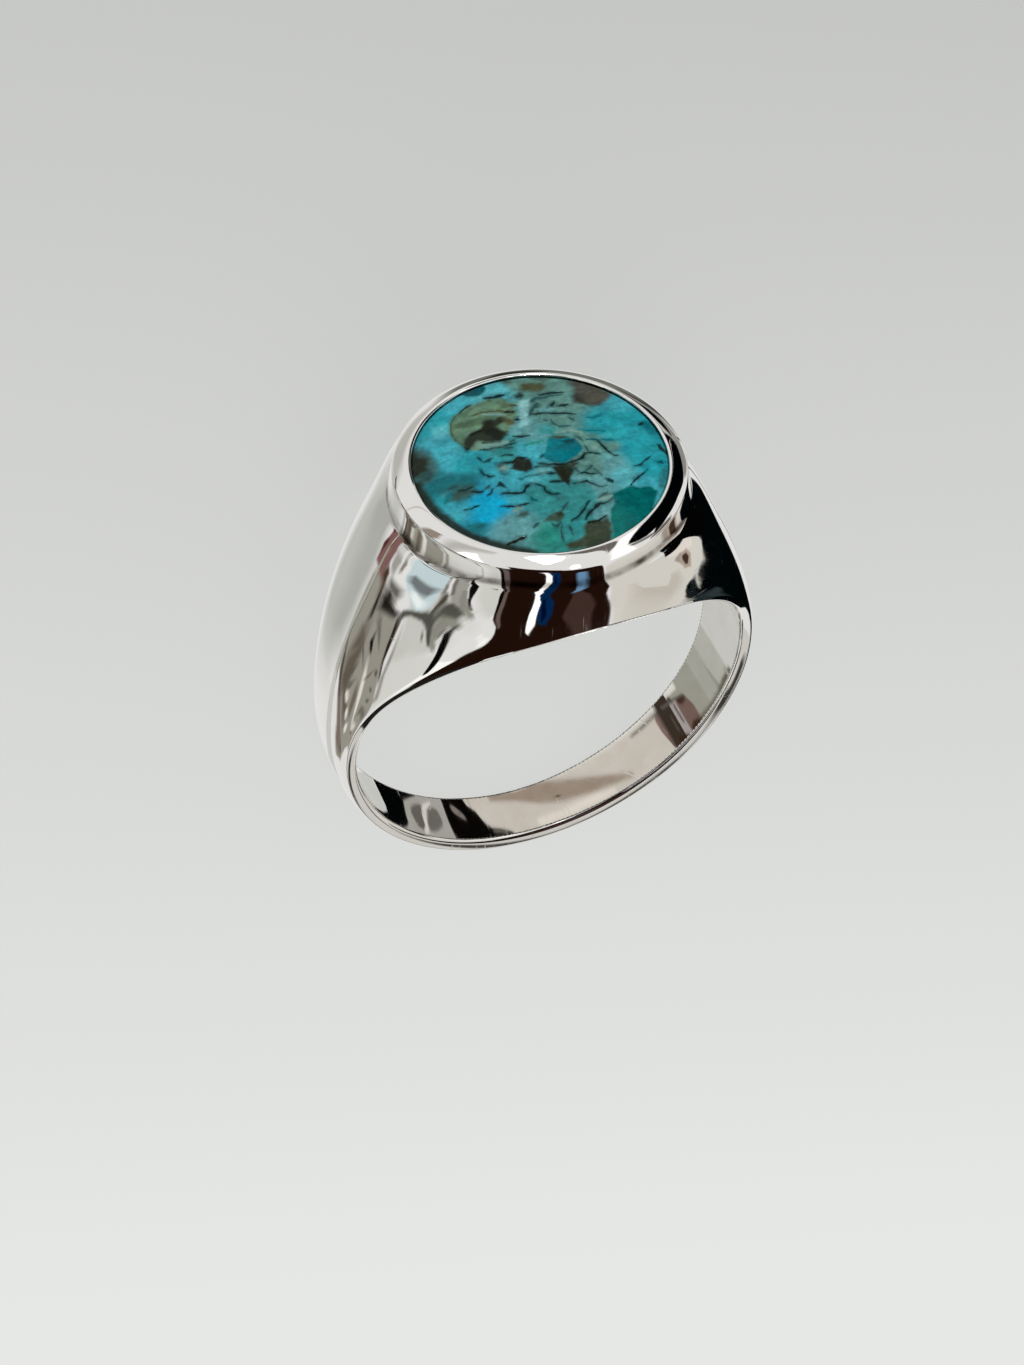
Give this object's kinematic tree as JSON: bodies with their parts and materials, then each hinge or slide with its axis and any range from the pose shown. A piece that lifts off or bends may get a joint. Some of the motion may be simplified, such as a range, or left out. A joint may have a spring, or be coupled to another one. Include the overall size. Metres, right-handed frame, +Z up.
{
  "type": "turquoise signet ring",
  "caption": "Polished silver signet ring, lying on its side, with a round turquoise in a rub-over bezel on a deep head that is hollowed and open behind the stone.",
  "frame": {"origin": "on the table, under the middle of the ring's box as it lies on its side", "axes": "+Z up from the table; -Y the way the stone faces, tipped down by the ring's lean of 15.7 degrees; X across the finger hole"},
  "size_m": [0.0208, 0.0248, 0.0139],
  "materials": {
    "silver": "polished",
    "turquoise": "polished"
  },
  "bodies": {
    "root": {"silver_ring": "silver", "turquoise_stone": "turquoise"}
  },
  "joints": []
}
